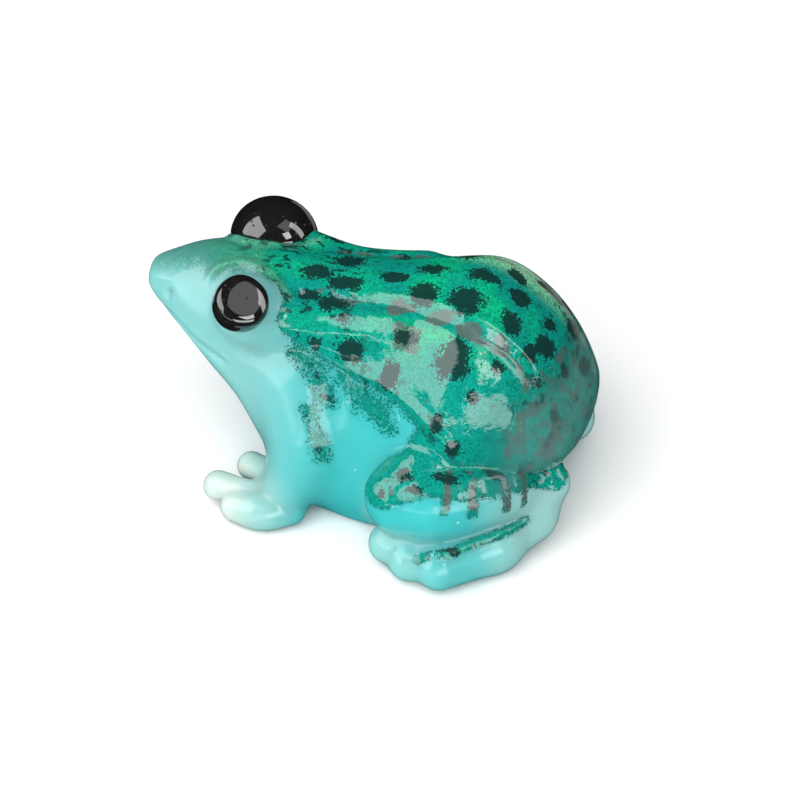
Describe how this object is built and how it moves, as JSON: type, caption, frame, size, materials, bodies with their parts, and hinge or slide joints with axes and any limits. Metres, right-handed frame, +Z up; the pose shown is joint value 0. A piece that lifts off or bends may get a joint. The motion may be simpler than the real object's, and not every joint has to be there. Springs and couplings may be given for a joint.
{
  "type": "frog figurine",
  "caption": "Small sitting frog cast in translucent turquoise resin, head raised, with a printed speckled back, black domed eyes and a flat underside to rest on.",
  "frame": {"origin": "centre of the flat underside, halfway between the snout and the rump", "axes": "+Z up from the surface it rests on, the frog faces -Y, its left side is +X"},
  "size_m": [0.0238, 0.028, 0.0161],
  "materials": {
    "turquoise_resin": "high gloss, translucent",
    "printed_film": "high gloss over a grainy print",
    "black_gloss_left": "high gloss",
    "black_gloss_right": "high gloss"
  },
  "bodies": {
    "root": {"body_casting": "turquoise_resin", "back_print_film": "printed_film", "left_eye": "black_gloss_left", "right_eye": "black_gloss_right"}
  },
  "joints": []
}
